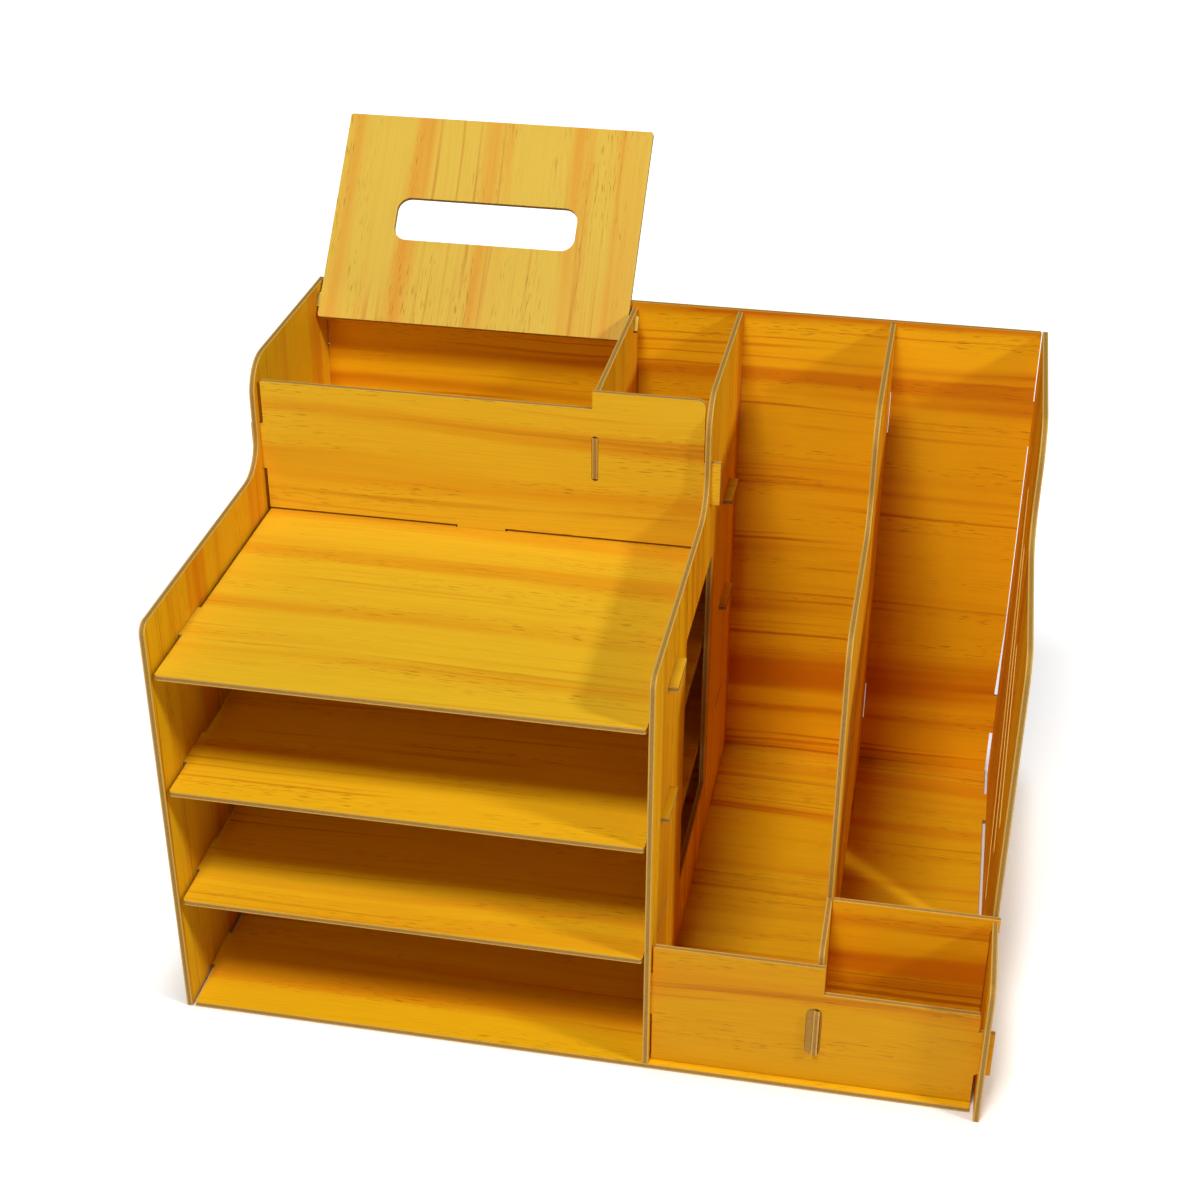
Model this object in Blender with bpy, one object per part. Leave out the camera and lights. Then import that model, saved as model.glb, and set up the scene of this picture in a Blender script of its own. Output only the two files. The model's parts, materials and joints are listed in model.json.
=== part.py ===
"""Desk organizer in 3 mm laminated board: three wide shelves on the left, a tissue compartment with
a hinged lid and a pen compartment above them, two upright file bays and a small note bin on the right.
The boards slot together with tabs. Metres, +Z up, front towards -Y; the origin is on the table under
the middle of the footprint."""

import math

import bmesh
import bpy
from mathutils import Matrix, Vector

# Board and fits
BOARD = 0.003                 # thickness of every board
FIT = 0.0003                  # gap left between boards that touch
EDGE_PLAY = 0.002             # plain board edges stop this short of the outer side panels
INNER_PLAY = 0.001            # and this short of the centre panel
BACK_PLAY = 0.0005            # upper part of the back panel, to the outer side panels
BACK_TAPER = 0.105            # above this height the back panel has its full width

# Bays, from left to right, and the depth inside
SHELF_WIDTH = 0.246           # left panel to centre panel
FILE_WIDTH = 0.0833           # centre panel to file divider
NOTE_WIDTH = 0.0809           # file divider to right panel
DEPTH = 0.2985                # front edge to the front face of the back panel

# Heights, from the top of the base
CELL_HEIGHT = 0.0667          # clear height of each shelf cell
UPPER_HEIGHT = 0.089          # top shelf to the top of the side panels
TRAY_LIP = 0.0275             # side panels above the open front half of the top shelf
FENCE_HEIGHT = 0.075          # front fence, left part
FENCE_LOW = 0.058             # front fence in front of the note bin
WING_HEIGHT = 0.083           # low wings of the file divider and the right panel
NOTE_BACK_RISE = 0.0012       # cross panel above the low wings
LID_RECESS = 0.011            # tissue compartment's front below the panels' top
PEN_FRONT_DROP = 0.001        # pen compartment's front below the panels' top
PEN_WALL_DROP = 0.003         # pen divider below the panels' top

# Depths
UPPER_DEPTH = 0.1275          # back panel to the front of the side panels' upper part
UPPER_SETBACK = 0.004         # upper front panel behind that edge
WING_DEPTH = 0.0500           # low wings of the divider and the right panel, from the front edge
FENCE_SETBACK = 0.004         # fence behind the front edge
FENCE_OVERLAP = 0.0012        # fence's high part past the file divider
RIGHT_FOOT = 0.006            # right panel's foot ahead of the front edge
PEN_WIDTH = 0.058             # clear width of the pen compartment

# Outline radii
SHOULDER_RADIUS = 0.020       # top front shoulder and the hollow below it
NOSE_RADIUS = 0.006           # front corners
WING_RADIUS = 0.012           # front shoulder above the low wings
WING_END_RADIUS = 0.004       # front end of the file divider's wing
CORNER_RADIUS = 0.0025        # rear top corners of the inner panels, corners of the window
SMALL_RADIUS = 0.001          # corners of fence and fronts, top corners at the rear
SHELF_RADIUS = 0.0018         # front corners of the shelves
PEN_CORNER_RADIUS = 0.004

# Tabs and slots
TAB = 0.027                   # width of a tab
SLOT_END = 0.0012             # room past each end of a tab, rounded in the board
FRONT_TAB = 0.0265            # shelf tabs, from the front edge
TOP_FRONT_TAB = 0.0385        # same, on the top shelf
REAR_TAB = 0.036              # rear tabs, back panel to the tab's rear end
BASE_TAB = 0.031              # base tabs, from the front edge
BASE_REAR_TAB = 0.025         # base tabs, back panel to the tab's rear end
BACK_LOW_TAB = 0.029          # back panel tabs, above the base
BACK_HIGH_TAB = 0.228
FENCE_LEFT_TAB = 0.031
FENCE_RIGHT_TAB = 0.0197
FENCE_TAB_PROUD = 0.003       # its tip outside the right panel
WING_TAB = 0.0197             # file divider's tab through the fence, above the base
WING_TAB_PROUD = 0.0025
POCKET_WIDTH = 0.0082         # shallow pocket round that tab in the fence's front
POCKET_DEPTH = 0.0007
POCKET_END = 0.002            # room past each end of that tab
POCKET_SHIFT = 0.0012         # the pocket's middle to the left of the tab's
EAR_DEPTH = 0.007             # notch of the right wing for the cross panel's ear
EAR_PROUD = 0.001
UPPER_TAB = 0.0242            # width of the next two tabs
PEN_TAB = 0.037               # pen divider's tab through the upper front, above the top shelf
FACE_END_TAB = 0.0283         # upper front's right tab, above the top shelf
TAB_PROUD = 0.002             # tips outside the outer side panels and the back panel
TOP_SHELF_PROUD = 0.005       # tips on the right face of the centre panel
MIDDLE_SHELF_PROUD = 0.004
FRONT_GAP = 0.0015            # dark joint under the upper front panel
TAB_ROOT = 0.002              # hollow at the root of the fence's right tab

# Openings in the panels
WINDOW_FRONT = 0.100          # window of the centre panel, from the front edge
WINDOW_DEPTH = 0.094
WINDOW_SILL = 0.041
WINDOW_HEAD = 0.012           # below the top shelf
SLASH_WIDTH = 0.010           # slanted slots of the right panel
# lower and upper end of each slanted slot, as shares of the depth and of the height
SLASH_SHARES = (((0.472, 0.094), (0.800, 0.765)),
                ((0.402, 0.258), (0.680, 0.708)),
                ((0.328, 0.369), (0.506, 0.604)))

# Tissue lid and its pivot
LID_TAIL = 0.0106             # lid behind its pivot
LID_EAR = 0.0088              # width of an ear
LID_EAR_PROUD = 0.002         # ear past the board it turns in
LID_PLAY = 0.001              # lid body to the boards beside it
LID_OVERHANG = 0.006          # closed lid ahead of the upper front panel
LID_RADIUS = 0.0015
HOLE_PLAY = 0.00035           # pivot hole's radius over the ear's half diagonal
SWING_GAP = 0.0004            # lid's rear edge to the back panel as it swings
TISSUE_SLOT_LENGTH = 0.108
TISSUE_SLOT_WIDTH = 0.0265
TISSUE_SLOT_RADIUS = 0.008

# Smoothness of arcs
ARC_STEPS = 8                 # segments of a quarter circle

# Places that follow from the sizes above; x from the left panel's inner face, z from the base's top
CENTRE_X = SHELF_WIDTH
DIVIDER_X = CENTRE_X + BOARD + FILE_WIDTH
RIGHT_X = DIVIDER_X + BOARD + NOTE_WIDTH
PEN_X = CENTRE_X - PEN_WIDTH - BOARD
SHELF_PITCH = CELL_HEIGHT + BOARD
LOWER_TOP = SHELF_PITCH
MIDDLE_TOP = LOWER_TOP + SHELF_PITCH
UPPER_TOP = MIDDLE_TOP + SHELF_PITCH
PANEL_TOP = UPPER_TOP + UPPER_HEIGHT
STEP_TOP = UPPER_TOP + TRAY_LIP
LID_SEAT = PANEL_TOP - LID_RECESS
REAR = DEPTH + BOARD
UPPER_FRONT = DEPTH - UPPER_DEPTH
FACE_Y = UPPER_FRONT + UPPER_SETBACK
FACE_REAR = FACE_Y + BOARD
FENCE_REAR = FENCE_SETBACK + BOARD
CROSS_Y = WING_DEPTH - BOARD
CROSS_TOP = WING_HEIGHT + NOTE_BACK_RISE
EAR_SEAT = WING_HEIGHT - EAR_DEPTH
UNDERSIDE = -BOARD

# Pivot of the lid: its tail just clears the back panel, and closed it lies on the upper front
TAIL_REACH = math.hypot(LID_TAIL, BOARD / 2)
PIVOT_Y = DEPTH - TAIL_REACH - SWING_GAP
PIVOT_Z = LID_SEAT + FIT + BOARD / 2
HOLE_RADIUS = math.hypot(LID_EAR / 2, BOARD / 2) + HOLE_PLAY
LID_LENGTH = PIVOT_Y + LID_TAIL - (FACE_Y - LID_OVERHANG)
# Open, the lid leans on the front top edge of the back panel
STOP_RUN = DEPTH - PIVOT_Y
STOP_RISE = PANEL_TOP - PIVOT_Z
OPEN_ANGLE = math.atan2(STOP_RISE, STOP_RUN) + math.asin((BOARD / 2 + FIT) / math.hypot(STOP_RUN, STOP_RISE))


def rounded(corners):
    """Closed outline with each corner (x, y, radius) replaced by its arc."""
    points = []
    count = len(corners)
    for i, (x, y, radius) in enumerate(corners):
        here = Vector((x, y))
        before = Vector(corners[i - 1][:2]) - here
        after = Vector(corners[(i + 1) % count][:2]) - here
        if radius <= 0 or before.length == 0 or after.length == 0:
            points.append(here)
            continue
        half = before.angle(after) / 2
        reach = min(radius / math.tan(half), before.length / 2, after.length / 2)
        radius = reach * math.tan(half)
        before.normalize()
        after.normalize()
        centre = here + (before + after).normalized() * (radius / math.sin(half))
        start = here + before * reach - centre
        turn = start.angle_signed(here + after * reach - centre)
        steps = max(2, round(ARC_STEPS * abs(turn) / (math.pi / 2)))
        for k in range(steps + 1):
            angle = -turn * k / steps
            points.append(centre + Matrix.Rotation(angle, 2) @ start)
    return points


def box_outline(x0, x1, y0, y1, radius=0):
    return rounded([(x0, y0, radius), (x1, y0, radius), (x1, y1, radius), (x0, y1, radius)])


def slot_between(p, q, width):
    """Slot with round ends, its end arcs centred on p and q."""
    p, q = Vector(p), Vector(q)
    along = math.atan2(q.y - p.y, q.x - p.x)
    points = []
    for centre, first in ((q, along - math.pi / 2), (p, along + math.pi / 2)):
        for k in range(2 * ARC_STEPS + 1):
            angle = first + math.pi * k / (2 * ARC_STEPS)
            points.append(centre + Vector((math.cos(angle), math.sin(angle))) * (width / 2))
    return points


def tab_slot(x0, x1, y0, y1):
    """Slot round a tab of this cross-section, with round ends past the tab's narrow sides."""
    if x1 - x0 > y1 - y0:
        width = y1 - y0 + 2 * FIT
        inset = width / 2 - SLOT_END
        y = (y0 + y1) / 2
        return slot_between((x0 + inset, y), (x1 - inset, y), width)
    width = x1 - x0 + 2 * FIT
    inset = width / 2 - SLOT_END
    x = (x0 + x1) / 2
    return slot_between((x, y0 + inset), (x, y1 - inset), width)


def circle(x, y, radius):
    count = 4 * ARC_STEPS
    turns = [2 * math.pi * k / count for k in range(count)]
    return [Vector((x + radius * math.cos(a), y + radius * math.sin(a))) for a in turns]


def steps_x(level, spans):
    """Corners of tabs or notches on an edge that runs along x: spans of (start, end, tip level)."""
    corners = []
    for start, end, tip in spans:
        corners += [(start, level, 0), (start, tip, 0), (end, tip, 0), (end, level, 0)]
    return corners


def steps_y(level, spans):
    """The same on an edge that runs along y."""
    return [(x, y, r) for y, x, r in steps_x(level, spans)]


def back(corners):
    return list(reversed(corners))


def span(start, tip, room=0, width=TAB):
    """One tab, or with room the notch that takes it."""
    return (start - room, start + width + room, tip)


def wood(name, colour, roughness):
    material = bpy.data.materials.new(name)
    material.use_nodes = True
    shader = material.node_tree.nodes["Principled BSDF"]
    shader.inputs["Base Color"].default_value = (*colour, 1)
    shader.inputs["Roughness"].default_value = roughness
    shader.inputs["Metallic"].default_value = 0
    material.diffuse_color = (*colour, 1)
    return material


def slab(name, outline, holes, thickness):
    """Mesh of a filled 2D curve with its holes as inner splines, extruded to this thickness, with the
    caps welded to the rim."""
    curve = bpy.data.curves.new(name, "CURVE")
    curve.dimensions = "2D"
    curve.fill_mode = "BOTH"
    curve.extrude = thickness / 2
    for points in [outline] + holes:
        spline = curve.splines.new("POLY")
        spline.points.add(len(points) - 1)
        for point, target in zip(points, spline.points):
            target.co = (point[0], point[1], 0, 1)
        spline.use_cyclic_u = True
    guide = bpy.data.objects.new(name + "_outline", curve)
    bpy.context.scene.collection.objects.link(guide)
    bpy.context.view_layer.update()
    evaluated = guide.evaluated_get(bpy.context.evaluated_depsgraph_get())
    mesh = bpy.data.meshes.new_from_object(evaluated)
    bpy.data.objects.remove(guide)
    bpy.data.curves.remove(curve)
    shape = bmesh.new()
    shape.from_mesh(mesh)
    bmesh.ops.remove_doubles(shape, verts=shape.verts, dist=FIT / 100)
    bmesh.ops.recalc_face_normals(shape, faces=shape.faces)
    shape.to_mesh(mesh)
    shape.free()
    mesh.name = name
    return mesh


def board(name, outline, holes, turn, place, colour, roughness=0.45):
    """One board of the organizer."""
    thing = bpy.data.objects.new(name, slab(name, outline, holes, BOARD))
    thing.rotation_euler = turn
    thing.location = place
    thing.data.materials.append(wood(name, colour, roughness))
    organizer.objects.link(thing)
    thing.parent = root
    return thing


def sink(thing, outline, depth):
    """Cuts a pocket of this outline and depth into the front of an upright board."""
    name = thing.name + "_pocket"
    cutter = bpy.data.objects.new(name, slab(name, outline, [], 2 * depth))
    cutter.rotation_euler = thing.rotation_euler
    cutter.location = thing.location - Vector((0, BOARD / 2, 0))
    cutter.parent = root
    cutter.hide_render = True
    cutter.display_type = "WIRE"
    cutters.objects.link(cutter)
    cut = thing.modifiers.new("pocket", "BOOLEAN")
    cut.operation = "DIFFERENCE"
    cut.object = cutter


def upright_side(x):
    """Turn and place of a board in the YZ plane whose left face is at x."""
    return (math.pi / 2, 0, math.pi / 2), (x + BOARD / 2, 0, 0)


def upright_front(y):
    """Turn and place of a board in the XZ plane whose front face is at y."""
    return (math.pi / 2, 0, 0), (0, y + BOARD / 2, 0)


def flat(z):
    """Turn and place of a level board whose top is at z."""
    return (0, 0, 0), (0, 0, z - BOARD / 2)


SHELVES = (("lower_shelf", LOWER_TOP, FRONT_TAB, 0),
           ("middle_shelf", MIDDLE_TOP, FRONT_TAB, MIDDLE_SHELF_PROUD),
           ("top_shelf", UPPER_TOP, TOP_FRONT_TAB, TOP_SHELF_PROUD))
REAR_START = DEPTH - REAR_TAB - TAB
BASE_TABS = (BASE_TAB, DEPTH - BASE_REAR_TAB - TAB)
FOOT_TABS = (BASE_TAB + TAB, REAR_START)
BACK_TABS = (BACK_LOW_TAB, BACK_HIGH_TAB)
FACE_TAB = (UPPER_TOP + LID_SEAT - TAB) / 2
FACE_END = UPPER_TOP + FACE_END_TAB
SHELF_MIDDLE = (SHELF_WIDTH - TAB) / 2
FILE_MIDDLE = CENTRE_X + BOARD + (FILE_WIDTH - TAB) / 2
NOTE_MIDDLE = DIVIDER_X + BOARD + (NOTE_WIDTH - TAB) / 2
PEN_FOOT = (FACE_REAR + DEPTH - TAB) / 2
PEN_BACK = (UPPER_TOP + LID_SEAT - TAB) / 2
CLOSE_SIDE = CENTRE_X - INNER_PLAY
WING_FRONT = FENCE_REAR + FIT
BIN_EDGE = WING_DEPTH + FIT
STAND = FIT
INNER_REAR = DEPTH - FIT


def side_slots(face_start, face_end):
    """Slots of the left and the centre panel: two per shelf, and one for the upper front's tab."""
    slots = []
    for name, top, front, proud in SHELVES:
        for start in (front, REAR_START):
            slots.append(tab_slot(start, start + TAB, top - BOARD, top))
    slots.append(tab_slot(FACE_Y, FACE_REAR, face_start, face_end))
    return slots


def stepped_top():
    """Top of a wide side panel, from its rear corner forward and down to the shelves' front edge."""
    return [(UPPER_FRONT, PANEL_TOP, SHOULDER_RADIUS), (UPPER_FRONT, STEP_TOP, SHOULDER_RADIUS)]


def make_base():
    left, right = EDGE_PLAY, RIGHT_X - EDGE_PLAY
    side = [span(start, RIGHT_X + BOARD) for start in BASE_TABS]
    other = [span(start, -BOARD) for start in BASE_TABS]
    rear = [span(start, REAR) for start in (SHELF_MIDDLE, FILE_MIDDLE)]
    outline = [(left, 0, 0), (right, 0, 0)] + steps_y(right, side) + [(right, INNER_REAR, 0)]
    outline += back(steps_x(INNER_REAR, rear)) + [(left, INNER_REAR, 0)] + back(steps_y(left, other))
    holes = [tab_slot(x, x + BOARD, start, start + TAB) for x in (CENTRE_X, DIVIDER_X) for start in FOOT_TABS]
    holes.append(tab_slot(NOTE_MIDDLE, NOTE_MIDDLE + TAB, CROSS_Y, WING_DEPTH))
    return board("base_panel", rounded(outline), holes, *flat(0), (0.72, 0.42, 0.07))


def outer_edges(front):
    """Bottom and rear edge of an outer side panel, with notches for the base and the back panel."""
    below = [span(start, FIT, SLOT_END) for start in BASE_TABS]
    behind = [span(start, INNER_REAR, SLOT_END) for start in BACK_TABS]
    corners = [(front, UNDERSIDE, 0)] + steps_x(UNDERSIDE, below) + [(REAR, UNDERSIDE, 0)]
    return corners + steps_y(REAR, behind) + [(REAR, PANEL_TOP, SMALL_RADIUS)]


def make_left_side():
    outline = outer_edges(0) + stepped_top() + [(0, STEP_TOP, NOSE_RADIUS)]
    holes = side_slots(FACE_TAB, FACE_TAB + TAB) + [circle(PIVOT_Y, PIVOT_Z, HOLE_RADIUS)]
    return board("left_side_panel", rounded(outline), holes, *upright_side(-BOARD), (0.66, 0.38, 0.06))


def standing_edges(front):
    """Bottom and rear edge of an inner panel, with its feet in the base and its tabs in the back."""
    feet = [span(start, UNDERSIDE + FIT) for start in FOOT_TABS]
    behind = [span(start, REAR + TAB_PROUD) for start in BACK_TABS]
    corners = [(front, STAND, 0)] + steps_x(STAND, feet) + [(INNER_REAR, STAND, 0)]
    return corners + steps_y(INNER_REAR, behind) + [(INNER_REAR, PANEL_TOP, CORNER_RADIUS)]


def make_centre():
    outline = standing_edges(0) + stepped_top() + [(0, STEP_TOP, NOSE_RADIUS)]
    window = box_outline(WINDOW_FRONT, WINDOW_FRONT + WINDOW_DEPTH, WINDOW_SILL, UPPER_TOP - WINDOW_HEAD,
                         CORNER_RADIUS)
    fence = tab_slot(FENCE_SETBACK, FENCE_REAR, FENCE_LEFT_TAB, FENCE_LEFT_TAB + TAB)
    holes = side_slots(FACE_END, FACE_END + UPPER_TAB) + [window, fence]
    return board("centre_panel", rounded(outline), holes, *upright_side(CENTRE_X), (0.66, 0.38, 0.06))


def winged_top(front, radius, root_corners):
    """Top of a file bay's panel: full height behind, tray height ahead of it, then the low wing with these
    corners at its root."""
    return stepped_top() + [(BIN_EDGE, STEP_TOP, WING_RADIUS)] + root_corners + [(front, WING_HEIGHT, radius)]


def make_divider():
    tab = [span(WING_TAB, FENCE_SETBACK - WING_TAB_PROUD)]
    top = winged_top(WING_FRONT, WING_END_RADIUS, [(BIN_EDGE, WING_HEIGHT, 0)])
    outline = standing_edges(WING_FRONT) + top + back(steps_y(WING_FRONT, tab))
    return board("file_divider", rounded(outline), [], *upright_side(DIVIDER_X), (0.70, 0.42, 0.07))


def make_right_side():
    notch = [(BIN_EDGE, EAR_SEAT, 0), (CROSS_Y - FIT, EAR_SEAT, 0), (CROSS_Y - FIT, WING_HEIGHT, 0)]
    outline = outer_edges(-RIGHT_FOOT) + winged_top(-RIGHT_FOOT, NOSE_RADIUS, notch)
    holes = [tab_slot(FENCE_SETBACK, FENCE_REAR, FENCE_RIGHT_TAB, FENCE_RIGHT_TAB + TAB)]
    for ends in SLASH_SHARES:
        low, high = [(across * DEPTH, up * PANEL_TOP) for across, up in ends]
        holes.append(slot_between(low, high, SLASH_WIDTH))
    return board("right_side_panel", rounded(outline), holes, *upright_side(RIGHT_X), (0.62, 0.33, 0.05))


def back_edge(level, wall, spans):
    """Upright edge of the back panel: clear of the side panel's wall at the foot, close to it higher up."""
    low, high = spans
    corners = steps_y(level, [low]) + [(wall, BACK_TAPER, 0)]
    return corners + steps_y(wall, [high]) + [(wall, PANEL_TOP, SMALL_RADIUS)]


def make_back():
    left, right = EDGE_PLAY, RIGHT_X - EDGE_PLAY
    notches = [span(start, FIT, SLOT_END) for start in (SHELF_MIDDLE, FILE_MIDDLE)]
    side = [span(start, RIGHT_X + BOARD + TAB_PROUD) for start in BACK_TABS]
    other = [span(start, -BOARD - TAB_PROUD) for start in BACK_TABS]
    outline = [(left, UNDERSIDE, 0)] + steps_x(UNDERSIDE, notches) + [(right, UNDERSIDE, 0)]
    outline += back_edge(right, RIGHT_X - BACK_PLAY, side) + back(back_edge(left, BACK_PLAY, other))
    holes = [tab_slot(x, x + BOARD, start, start + TAB) for x in (CENTRE_X, DIVIDER_X) for start in BACK_TABS]
    holes.append(tab_slot(PEN_X, PEN_X + BOARD, PEN_BACK, PEN_BACK + TAB))
    for name, top, front, proud in SHELVES:
        holes.append(tab_slot(SHELF_MIDDLE, SHELF_MIDDLE + TAB, top - BOARD, top))
    return board("back_panel", rounded(outline), holes, *upright_front(DEPTH), (0.70, 0.40, 0.07))


def make_shelf(name, top, front, proud):
    left = EDGE_PLAY
    side = [span(start, CENTRE_X + BOARD + proud) for start in (front, REAR_START)]
    other = [span(start, -BOARD - TAB_PROUD) for start in (front, REAR_START)]
    outline = [(left, 0, SHELF_RADIUS), (CLOSE_SIDE, 0, SHELF_RADIUS)] + steps_y(CLOSE_SIDE, side)
    outline += [(CLOSE_SIDE, INNER_REAR, 0)] + back(steps_x(INNER_REAR, [span(SHELF_MIDDLE, REAR)]))
    outline += [(left, INNER_REAR, 0)] + back(steps_y(left, other))
    holes = []
    if top == UPPER_TOP:
        holes.append(tab_slot(SHELF_MIDDLE, SHELF_MIDDLE + TAB, FACE_Y, FACE_REAR))
        holes.append(tab_slot(PEN_X, PEN_X + BOARD, PEN_FOOT, PEN_FOOT + TAB))
    return board(name, rounded(outline), holes, *flat(top), (0.74, 0.44, 0.08))


def make_upper_front():
    left, low, high = EDGE_PLAY, UPPER_TOP + FRONT_GAP, PANEL_TOP - PEN_FRONT_DROP
    outline = [(left, low, 0)] + steps_x(low, [span(SHELF_MIDDLE, UPPER_TOP - BOARD)])
    outline += [(CLOSE_SIDE, low, 0)]
    outline += steps_y(CLOSE_SIDE, [span(FACE_END, CENTRE_X + BOARD + TOP_SHELF_PROUD, width=UPPER_TAB)])
    outline += [(CLOSE_SIDE, high, PEN_CORNER_RADIUS), (PEN_X, high, 0), (PEN_X, LID_SEAT, LID_PLAY)]
    outline += [(left, LID_SEAT, SMALL_RADIUS)]
    outline += back(steps_y(left, [span(FACE_TAB, -BOARD - TAB_PROUD)]))
    tab = UPPER_TOP + PEN_TAB
    holes = [tab_slot(PEN_X, PEN_X + BOARD, tab, tab + UPPER_TAB)]
    return board("upper_front_panel", rounded(outline), holes, *upright_front(FACE_Y), (0.76, 0.47, 0.09))


def make_pen_divider():
    front, low, high = FACE_REAR + FIT, UPPER_TOP + FIT, PANEL_TOP - PEN_WALL_DROP
    tab = UPPER_TOP + PEN_TAB
    outline = [(front, low, 0)] + steps_x(low, [span(PEN_FOOT, UPPER_TOP - BOARD)])
    outline += [(INNER_REAR, low, 0)] + steps_y(INNER_REAR, [span(PEN_BACK, REAR)])
    outline += [(INNER_REAR, high, 0), (front, high, 0)]
    outline += back(steps_y(front, [span(tab, FACE_Y, width=UPPER_TAB)]))
    hole = circle(PIVOT_Y, PIVOT_Z, HOLE_RADIUS)
    return board("pen_divider", rounded(outline), [hole], *upright_side(PEN_X), (0.66, 0.36, 0.06))


def make_lid():
    """Lid with an ear on each side; its own origin is on the pivot's axis."""
    left, right = LID_PLAY, PEN_X - LID_PLAY
    tail, tip = -LID_TAIL, LID_LENGTH - LID_TAIL
    ear_tips = (PEN_X + BOARD + LID_EAR_PROUD, -BOARD - LID_EAR_PROUD)
    half = LID_EAR / 2
    outline = [(left, tail, LID_RADIUS), (right, tail, LID_RADIUS)]
    outline += steps_y(right, [(-half, half, ear_tips[0])])
    outline += [(right, tip, LID_RADIUS), (left, tip, LID_RADIUS)]
    outline += back(steps_y(left, [(-half, half, ear_tips[1])]))
    middle_x, middle_y = (left + right) / 2, (tail + tip) / 2
    half_x, half_y = TISSUE_SLOT_LENGTH / 2, TISSUE_SLOT_WIDTH / 2
    slot = box_outline(middle_x - half_x, middle_x + half_x, middle_y - half_y, middle_y + half_y,
                       TISSUE_SLOT_RADIUS)
    return board("tissue_lid", rounded(outline), [slot], (OPEN_ANGLE, 0, 0), (0, PIVOT_Y, PIVOT_Z),
                 (0.76, 0.55, 0.14))


def make_fence():
    left, right = CENTRE_X + BOARD + INNER_PLAY, RIGHT_X - EDGE_PLAY
    drop = DIVIDER_X + BOARD + FENCE_OVERLAP
    start, end, tip = span(FENCE_RIGHT_TAB, RIGHT_X + BOARD + FENCE_TAB_PROUD)
    outline = [(left, STAND, 0), (right, STAND, 0), (right, start, TAB_ROOT), (tip, start, 0), (tip, end, 0),
               (right, end, 0), (right, FENCE_LOW, SMALL_RADIUS), (drop, FENCE_LOW, 0)]
    outline += [(drop, FENCE_HEIGHT, 0), (left, FENCE_HEIGHT, SMALL_RADIUS)]
    outline += back(steps_y(left, [span(FENCE_LEFT_TAB, CENTRE_X)]))
    holes = [tab_slot(DIVIDER_X, DIVIDER_X + BOARD, WING_TAB, WING_TAB + TAB)]
    fence = board("front_fence", rounded(outline), holes, *upright_front(FENCE_SETBACK), (0.76, 0.47, 0.09))
    across, inset = DIVIDER_X + BOARD / 2 - POCKET_SHIFT, POCKET_WIDTH / 2 - POCKET_END
    ends = (across, WING_TAB + inset), (across, WING_TAB + TAB - inset)
    sink(fence, slot_between(*ends, POCKET_WIDTH), POCKET_DEPTH)
    return fence


def make_cross_panel():
    """Back of the note bin; its ear lies in the notch of the right panel."""
    left, right = DIVIDER_X + BOARD + FIT, RIGHT_X - FIT
    ear, tip = EAR_SEAT + FIT, RIGHT_X + BOARD + EAR_PROUD
    outline = [(left, STAND, 0)] + steps_x(STAND, [span(NOTE_MIDDLE, UNDERSIDE + FIT)]) + [(right, STAND, 0)]
    outline += [(right, ear, 0), (tip, ear, 0), (tip, CROSS_TOP, 0), (left, CROSS_TOP, 0)]
    return board("cross_panel", rounded(outline), [], *upright_front(CROSS_Y), (0.70, 0.38, 0.06))


for item in list(bpy.data.objects):
    bpy.data.objects.remove(item, do_unlink=True)

organizer = bpy.data.collections.new("desk_organizer")
bpy.context.scene.collection.children.link(organizer)
cutters = bpy.data.collections.new("cutters")
bpy.context.scene.collection.children.link(cutters)
root = bpy.data.objects.new("table_centre", None)
root.location = (-RIGHT_X / 2, -REAR / 2, BOARD)
organizer.objects.link(root)

make_base()
make_left_side()
make_centre()
make_divider()
make_right_side()
make_back()
for shelf in SHELVES:
    make_shelf(*shelf)
make_upper_front()
make_pen_divider()
make_lid()
make_fence()
make_cross_panel()
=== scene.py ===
"""Looks of the desk organizer: printed wood foil on every board, bare cut edges, soft studio light and
the photograph's camera. Metres, in the frame of the CAD model."""

import json
import math
from collections import namedtuple

import bpy
from mathutils import Matrix, Vector


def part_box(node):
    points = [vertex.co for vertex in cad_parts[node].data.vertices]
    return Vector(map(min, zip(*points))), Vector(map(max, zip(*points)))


# Camera, solved from the straight edges in the photograph
CAMERA_PLACE = Vector((0.1587, -0.9184, 0.7428))
CAMERA_YAW = math.radians(-10.643)          # to the left of straight ahead
CAMERA_PITCH = math.radians(-30.651)        # below level
CAMERA_ROLL = math.radians(0.285)
CAMERA_LENS = 60.364                        # millimetres, as the sensor
SENSOR = 36.0

# Lamps, all aimed at the middle of the boards from the same distance: degrees above level, degrees to
# the right of the front, side of the square panel, watts, colour
AIM = Vector((0, 0, 0.15))
LAMP_DISTANCE = 3.0
WHITE = (1.0, 1.0, 1.0)
WARM = (1.0, 0.78, 0.50)
LAMPS = {
    "main": (61, -10, 0.60, 57.0, WHITE),
    "right": (35, 71, 0.30, 38.0, WHITE),
    "front": (20, -8, 0.50, 9.5, WARM),
}
SKY_STRENGTH = 0.05

# Floor: its glow towards the camera turns it white, less so near the object, where the shadow lies
FLOOR_SIDE = 6.0
FLOOR_DROP = 0.0002
FLOOR_COLOUR = (0.86, 0.86, 0.86, 1)
FLOOR_ROUGHNESS = 0.9
FLOOR_GLOW = (0.55, 0.95)                   # at the near and at the far distance
FLOOR_REACH = (0.45, 1.3)                   # those distances, from the middle
FLOOR_SLIT_SHADE = 0.03                           # gaps narrower than about this glow less, a painted shade in slits
FLOOR_SLIT_SHADE_POWER = 3.0

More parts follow.
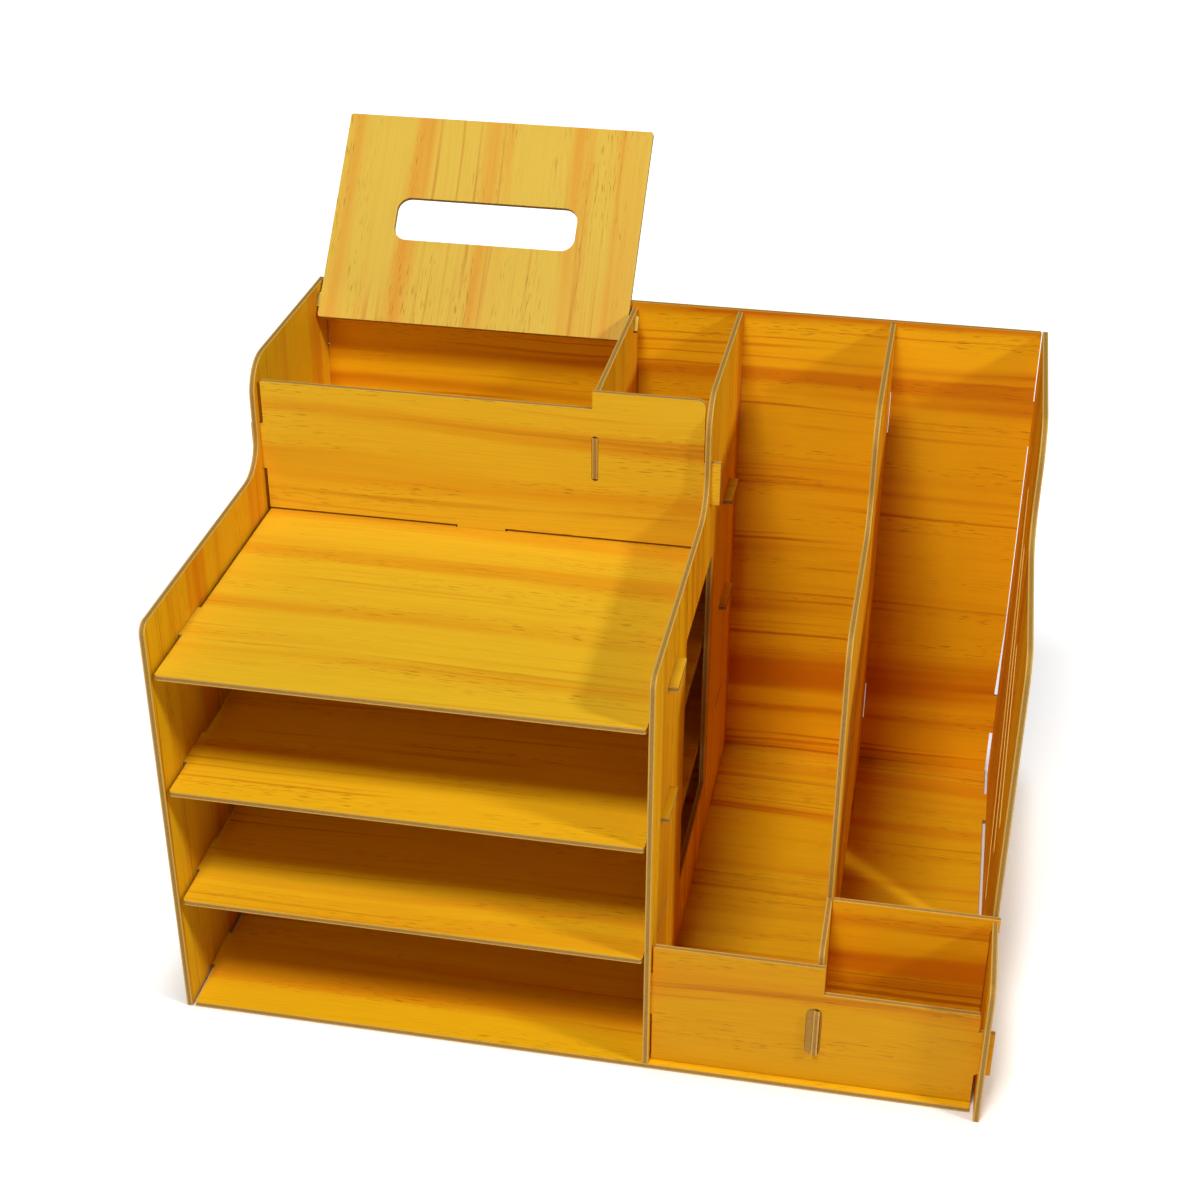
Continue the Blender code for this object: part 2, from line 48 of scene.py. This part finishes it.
# Noises of the wood print: features per metre along and across the grain, octaves, slice of the noise
# and roughness
Noise = namedtuple("Noise", "along across detail slice rough", defaults=(0.0, 0.5))
WAVE = Noise(3.0, 8, 1)
RIPPLE = Noise(16, 50, 2)
BANDS = Noise(1.4, 48, 2)
TONE = Noise(1.6, 9, 1, slice=3.0)
LINES = Noise(2.6, 300, 1, slice=7.0)
LINE_GATE = Noise(5, 34, 2, slice=11.0)     # where lines show
FIBRE = Noise(22, 1100, 3, slice=5.0, rough=0.6)
PORES = Noise(95, 1250, 1, slice=13.0)
PORE_GATE = Noise(8, 60, 2, slice=17.0)     # where pores show

# How far the lines wander sideways, from one side to the other
WAVE_REACH = 0.022
RIPPLE_REACH = 0.0022

# Noise values between which each of them rises from nothing to full
BANDS_RISE = (0.45, 0.66)
TONE_RISE = (0.35, 0.65)
LINES_RISE = (0.54, 0.70)
LINE_GATE_RISE = (0.44, 0.60)
FIBRE_RISE = (0.35, 0.75)
PORES_RISE = (0.58, 0.70)
PORE_GATE_RISE = (0.46, 0.64)
SOOT_RISE = (0.35, 0.65)

# Share of its own colour that each gives where it is full
BANDS_SHARE = 0.85
TONE_SHARE = 0.30
LINES_SHARE = 0.66
FIBRE_SHARE = 0.16
PORES_SHARE = 0.55
SOOT_SHARE = 0.30

# Gloss and relief of the foil
FOIL_GLOSS = 0.14
FOIL_ROUGHNESS = (0.50, 0.62)               # between the fibres and on them
ROUGHNESS_RISE = (0.3, 0.7)
CUT_ROUGHNESS = 0.7
RELIEF_DEPTH = 0.00006
RELIEF_STRENGTH = 0.35
FIBRE_HEIGHT = 0.3                          # against a pore's depth of 1

# Board edges
EDGE_BEVEL = 0.00022
EDGE_SEGMENTS = 2
EDGE_ANGLE = math.radians(40)               # sharper edges than this are eased
WELD = 0.00001
FLAT_WEIGHT = 100                           # large faces keep their own normals
FOIL_START = 0.97                           # share of the half thickness, further out is foil
CREAM_START = 0.55                          # and from about here on the cut is light
CREAM_BLUR = 0.12
SOOT_SCALE = 900.0                          # sooty spots per metre of the cut
SOOT_DETAIL = 2.0

# Colour sockets of a mix node, whose names others share
MIX_FIRST = 6
MIX_SECOND = 7
MIX_RESULT = 2


def srgb(red, green, blue):
    """Linear colour of an 8-bit one."""
    def linear(value):
        value /= 255
        return value / 12.92 if value <= 0.04045 else ((value + 0.055) / 1.055) ** 2.4
    return (linear(red), linear(green), linear(blue), 1)


YELLOW = srgb(234, 178, 14)
PALE = srgb(234, 186, 36)
ORANGE = srgb(216, 122, 2)
AMBER = srgb(244, 174, 12)
AMBER_DARK = srgb(222, 160, 8)
# Lighter print for the back, centre and right side panels, to brighten boards the lamps leave dim:
# painted light
GOLD_PAINTED_LIGHT = srgb(250, 186, 16)
RUST = srgb(204, 104, 2)
STRAW = srgb(222, 186, 70)
PEACH = srgb(222, 142, 34)
PEACH_LINE = srgb(200, 132, 44)
LINE = srgb(182, 92, 2)
PORE = srgb(156, 92, 6)
EDGE_CORE = srgb(170, 132, 62)
EDGE_CREAM = srgb(210, 166, 82)
EDGE_SOOT = srgb(124, 90, 42)


class Nodes:
    """Shorthand for building a node tree."""

    def __init__(self, tree):
        self.tree = tree

    def add(self, kind, settings=None, **inputs):
        """New node; an input's name has _ for a space."""
        node = self.tree.nodes.new(kind)
        for name, value in (settings or {}).items():
            setattr(node, name, value)
        for name, value in inputs.items():
            self.feed(node.inputs[name.replace("_", " ")], value)
        return node

    def feed(self, socket, value):
        """Links another node's output to a socket, or sets the socket's own value."""
        if isinstance(value, bpy.types.NodeSocket):
            self.tree.links.new(value, socket)
        else:
            socket.default_value = value

    def math(self, operation, *values):
        node = self.add("ShaderNodeMath", {"operation": operation})
        for socket, value in zip(node.inputs, values):
            self.feed(socket, value)
        return node.outputs[0]

    def dot(self, vector, axis):
        node = self.add("ShaderNodeVectorMath", {"operation": "DOT_PRODUCT"})
        self.feed(node.inputs[0], vector)
        self.feed(node.inputs[1], axis)
        return node.outputs["Value"]

    def noise(self, u, v, noise):
        """One of the print's noises at u metres along and v metres across the grain."""
        along = self.math("MULTIPLY", u, noise.along)
        across = self.math("MULTIPLY", v, noise.across)
        place = self.add("ShaderNodeCombineXYZ", X=along, Y=across, Z=noise.slice).outputs[0]
        node = self.add("ShaderNodeTexNoise", Vector=place, Scale=1.0)
        node.inputs["Detail"].default_value = noise.detail
        node.inputs["Roughness"].default_value = noise.rough
        return node.outputs["Fac"]

    def ramp(self, value, low, high, start=0.0, end=1.0):
        """Smooth step from start to end while value goes from low to high."""
        node = self.add("ShaderNodeMapRange", {"interpolation_type": "SMOOTHSTEP"}, Value=value)
        for name, limit in (("From Min", low), ("From Max", high), ("To Min", start), ("To Max", end)):
            node.inputs[name].default_value = limit
        return node.outputs[0]

    def mix(self, share, first, second):
        """The first colour with this share of the second."""
        node = self.add("ShaderNodeMix", {"data_type": "RGBA"}, Factor=share)
        self.feed(node.inputs[MIX_FIRST], first)
        self.feed(node.inputs[MIX_SECOND], second)
        return node.outputs[MIX_RESULT]


def board_axes(name):
    """Grain direction, direction across the grain, normal and middle of a board, at rest."""
    if name == "tissue_lid":
        joint = frame["joints"][0]
        tilt = math.pi - math.radians(joint["range_deg"][1])     # closed, the lid lies level
        turn = Matrix.Rotation(tilt, 3, "X")
        grain = turn @ Vector((0, 1, 0))
        normal = turn @ Vector((0, 0, 1))
        return grain, Vector((1, 0, 0)), normal, Vector(joint["pos_m"])
    low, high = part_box(name)
    size = high - low
    thin = min(range(3), key=lambda k: size[k])
    normal = Vector([float(k == thin) for k in range(3)])
    grain = Vector((0, 0, 1)) if thin == 0 else Vector((1, 0, 0))
    return grain, normal.cross(grain), normal, (low + high) / 2


def wander(n, u, v, noise, reach):
    """How far a noise moves the lines sideways."""
    return n.math("MULTIPLY", n.math("SUBTRACT", n.noise(u, v, noise), 0.5), reach)


def print_layers(n, u, v):
    """Strengths of the print's bands, tone, lines, fibre and pores."""
    wave = wander(n, u, v, WAVE, WAVE_REACH)
    ripple = wander(n, u, v, RIPPLE, RIPPLE_REACH)
    v = n.math("ADD", v, n.math("ADD", wave, ripple))
    bands = n.ramp(n.noise(u, v, BANDS), *BANDS_RISE)
    tone = n.ramp(n.noise(u, v, TONE), *TONE_RISE)
    lines = n.ramp(n.noise(u, v, LINES), *LINES_RISE)
    lines = n.math("MULTIPLY", lines, n.ramp(n.noise(u, v, LINE_GATE), *LINE_GATE_RISE))
    fibre = n.noise(u, v, FIBRE)
    pores = n.ramp(n.noise(u, v, PORES), *PORES_RISE)
    pores = n.math("MULTIPLY", pores, n.ramp(n.noise(u, v, PORE_GATE), *PORE_GATE_RISE))
    return bands, tone, lines, fibre, pores


def foil_colour(n, layers, light, deep, pale, line, streaks):
    """Printed foil; streaks strengthens its bands and lines."""
    bands, tone, lines, fibre, pores = layers
    colour = n.mix(n.math("MULTIPLY", bands, BANDS_SHARE * streaks), light, deep)
    colour = n.mix(n.math("MULTIPLY", tone, TONE_SHARE), colour, pale)
    colour = n.mix(n.math("MULTIPLY", lines, LINES_SHARE * streaks), colour, line)
    colour = n.mix(n.ramp(fibre, *FIBRE_RISE, 0.0, FIBRE_SHARE), colour, line)
    return n.mix(n.math("MULTIPLY", pores, PORES_SHARE), colour, PORE)


def cut_colour(n, place, depth):
    """Bare cut board: a core with sooty spots between light outer layers."""
    spots = n.add("ShaderNodeTexNoise", Vector=place, Scale=SOOT_SCALE, Detail=SOOT_DETAIL)
    soot = n.ramp(spots.outputs["Fac"], *SOOT_RISE, 0.0, SOOT_SHARE)
    core = n.mix(soot, EDGE_CORE, EDGE_SOOT)
    return n.mix(n.ramp(depth, CREAM_START - CREAM_BLUR, CREAM_START + CREAM_BLUR), core, EDGE_CREAM)


def wood_material(name, shift, light, deep, pale, line, streaks):
    """Printed wood foil on the faces and bare cut board on the edges."""
    material = bpy.data.materials.new(name + "_wood")
    material.use_nodes = True
    n = Nodes(material.node_tree)
    shader = material.node_tree.nodes["Principled BSDF"]
    grain, across, normal, middle = board_axes(name)
    place = n.add("ShaderNodeTexCoord").outputs["Object"]
    u = n.math("ADD", n.dot(place, grain), shift[0])
    v = n.math("ADD", n.dot(place, across), shift[1])
    depth = n.math("ABSOLUTE", n.math("SUBTRACT", n.dot(place, normal), middle.dot(normal)))
    depth = n.math("DIVIDE", depth, BOARD / 2)
    on_foil = n.math("GREATER_THAN", depth, FOIL_START)
    off_foil = n.math("SUBTRACT", 1.0, on_foil)
    layers = print_layers(n, u, v)
    fibre, pores = layers[3:]

    foil = foil_colour(n, layers, light, deep, pale, line, streaks)
    n.feed(shader.inputs["Base Color"], n.mix(on_foil, cut_colour(n, place, depth), foil))

    rough = n.math("MULTIPLY", n.ramp(fibre, *ROUGHNESS_RISE, *FOIL_ROUGHNESS), on_foil)
    rough = n.math("ADD", rough, n.math("MULTIPLY", off_foil, CUT_ROUGHNESS))
    n.feed(shader.inputs["Roughness"], rough)
    shader.inputs["Specular IOR Level"].default_value = FOIL_GLOSS

    height = n.math("SUBTRACT", n.math("MULTIPLY", fibre, FIBRE_HEIGHT), pores)
    relief = n.add("ShaderNodeBump", Strength=RELIEF_STRENGTH, Distance=RELIEF_DEPTH, Height=height)
    n.feed(shader.inputs["Normal"], relief.outputs[0])
    return material


def ease_edges(thing):
    """Rounds a board's sharp edges without changing the look of its flat faces."""
    weld = thing.modifiers.new("weld", "WELD")
    weld.merge_threshold = WELD
    ease = thing.modifiers.new("ease", "BEVEL")
    ease.width = EDGE_BEVEL
    ease.segments = EDGE_SEGMENTS
    ease.limit_method = "ANGLE"
    ease.angle_limit = EDGE_ANGLE
    flat = thing.modifiers.new("flat", "WEIGHTED_NORMAL")
    flat.weight = FLAT_WEIGHT


def dress(name, shift, light=YELLOW, deep=ORANGE, pale=PALE, line=LINE, streaks=1.0):
    """Gives a CAD board eased edges, and foil cut from this place along and across the print."""
    thing = frame["nodes"][name]
    material = wood_material(name, shift, light, deep, pale, line, streaks)
    for slot in thing.material_slots:
        slot.material = material
    ease_edges(thing)


def floor_material():
    """Pale floor that glows to white for the camera, and is dimmed in narrow slits by ambient
    occlusion: painted shade.
    """
    material = bpy.data.materials.new("floor_white")
    material.use_nodes = True
    n = Nodes(material.node_tree)
    shader = material.node_tree.nodes["Principled BSDF"]
    shader.inputs["Base Color"].default_value = FLOOR_COLOUR
    shader.inputs["Roughness"].default_value = FLOOR_ROUGHNESS
    shader.inputs["Specular IOR Level"].default_value = 0.0
    shader.inputs["Emission Color"].default_value = (1, 1, 1, 1)
    path = n.add("ShaderNodeLightPath").outputs
    seen = n.math("MAXIMUM", path["Is Camera Ray"], path["Is Glossy Ray"])
    # Ambient occlusion dims the glow in narrow gaps under and between the boards: painted shade
    openness_for_slit_shade = n.add("ShaderNodeAmbientOcclusion", Distance=FLOOR_SLIT_SHADE).outputs["AO"]
    place = n.add("ShaderNodeTexCoord").outputs["Object"]
    distance = n.add("ShaderNodeVectorMath", {"operation": "LENGTH"}, Vector=place).outputs["Value"]
    glow = n.ramp(distance, *FLOOR_REACH, *FLOOR_GLOW)
    glow = n.math("MULTIPLY", n.math("POWER", openness_for_slit_shade, FLOOR_SLIT_SHADE_POWER), glow)
    n.feed(shader.inputs["Emission Strength"], n.math("MULTIPLY", seen, glow))
    return material


def make_floor():
    half = FLOOR_SIDE / 2
    square = [(-half, -half, 0), (half, -half, 0), (half, half, 0), (-half, half, 0)]
    mesh = bpy.data.meshes.new("floor")
    mesh.from_pydata(square, [], [(0, 1, 2, 3)])
    mesh.materials.append(floor_material())
    floor = bpy.data.objects.new("floor", mesh)
    floor.location = (0, 0, -FLOOR_DROP)
    bpy.context.scene.collection.objects.link(floor)


def make_sky():
    """White backdrop for the camera, weak even light for the rest."""
    world = bpy.data.worlds.new("studio")
    bpy.context.scene.world = world
    world.use_nodes = True
    n = Nodes(world.node_tree)
    background = world.node_tree.nodes["Background"]
    background.inputs["Color"].default_value = (1, 1, 1, 1)
    path = n.add("ShaderNodeLightPath").outputs
    seen = n.math("MAXIMUM", path["Is Camera Ray"], path["Is Transmission Ray"])
    strength = n.math("ADD", n.math("MULTIPLY", seen, 1 - SKY_STRENGTH), SKY_STRENGTH)
    n.feed(background.inputs["Strength"], strength)


def make_lamp(name, elevation, azimuth, side, power, colour):
    lamp = bpy.data.lights.new(name, "AREA")
    lamp.size = side
    lamp.energy = power
    lamp.color = colour
    thing = bpy.data.objects.new(name, lamp)
    up = math.radians(elevation)
    aside = math.radians(azimuth)
    way = Vector((math.sin(aside) * math.cos(up), -math.cos(aside) * math.cos(up), math.sin(up)))
    thing.location = AIM + way * LAMP_DISTANCE
    thing.rotation_euler = (-way).to_track_quat("-Z", "Y").to_euler()
    bpy.context.scene.collection.objects.link(thing)


def make_camera():
    level = math.cos(CAMERA_PITCH)
    ahead = Vector((math.sin(CAMERA_YAW) * level, math.cos(CAMERA_YAW) * level, math.sin(CAMERA_PITCH)))
    right = Vector((math.cos(CAMERA_YAW), -math.sin(CAMERA_YAW), 0))
    up = right.cross(ahead)
    rolled_right = right * math.cos(CAMERA_ROLL) + up * math.sin(CAMERA_ROLL)
    rolled_up = up * math.cos(CAMERA_ROLL) - right * math.sin(CAMERA_ROLL)
    data = bpy.data.cameras.new("photo_camera")
    data.lens = CAMERA_LENS
    data.sensor_width = SENSOR
    camera = bpy.data.objects.new("photo_camera", data)
    axes = Matrix((rolled_right, rolled_up, -ahead)).transposed().to_4x4()
    camera.matrix_world = Matrix.Translation(CAMERA_PLACE) @ axes
    bpy.context.scene.collection.objects.link(camera)
    bpy.context.scene.camera = camera


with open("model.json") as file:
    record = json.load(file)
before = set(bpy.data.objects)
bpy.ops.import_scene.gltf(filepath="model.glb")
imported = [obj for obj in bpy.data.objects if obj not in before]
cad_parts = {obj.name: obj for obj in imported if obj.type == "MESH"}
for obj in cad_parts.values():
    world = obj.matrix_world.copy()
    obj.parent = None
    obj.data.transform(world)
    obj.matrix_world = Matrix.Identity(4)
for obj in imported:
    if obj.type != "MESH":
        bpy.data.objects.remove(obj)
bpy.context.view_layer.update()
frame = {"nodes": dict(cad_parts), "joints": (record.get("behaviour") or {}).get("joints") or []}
back_low, back_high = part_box("back_panel")
BOARD = back_high.y - back_low.y            # thickness of every board

dress("base_panel", (0.6, 3.3), streaks=0.8)
dress("lower_shelf", (1.3, 0.4), streaks=0.7)
dress("middle_shelf", (2.1, 0.9), streaks=0.7)
dress("top_shelf", (3.7, 1.3), light=PALE, streaks=0.5)
dress("back_panel", (5.2, 0.2), light=GOLD_PAINTED_LIGHT, pale=YELLOW, line=RUST, streaks=1.2)
dress("upper_front_panel", (6.4, 0.7), light=PALE, streaks=0.6)
dress("front_fence", (4.4, 3.1), light=AMBER_DARK, pale=AMBER_DARK)
dress("cross_panel", (9.3, 1.7), light=AMBER, pale=AMBER, streaks=1.2)
dress("left_side_panel", (10.1, 0.6))
dress("centre_panel", (11.7, 1.9), light=GOLD_PAINTED_LIGHT)
dress("file_divider", (12.9, 0.1), light=AMBER)
dress("right_side_panel", (14.3, 0.8), light=GOLD_PAINTED_LIGHT)
dress("pen_divider", (15.5, 1.2), light=AMBER)
dress("tissue_lid", (16.9, 0.3), light=STRAW, deep=PEACH, pale=STRAW, line=PEACH_LINE)

make_floor()
make_sky()
for lamp_name, facts in LAMPS.items():
    make_lamp(lamp_name, *facts)
make_camera()
bpy.context.scene.view_settings.view_transform = "Standard"
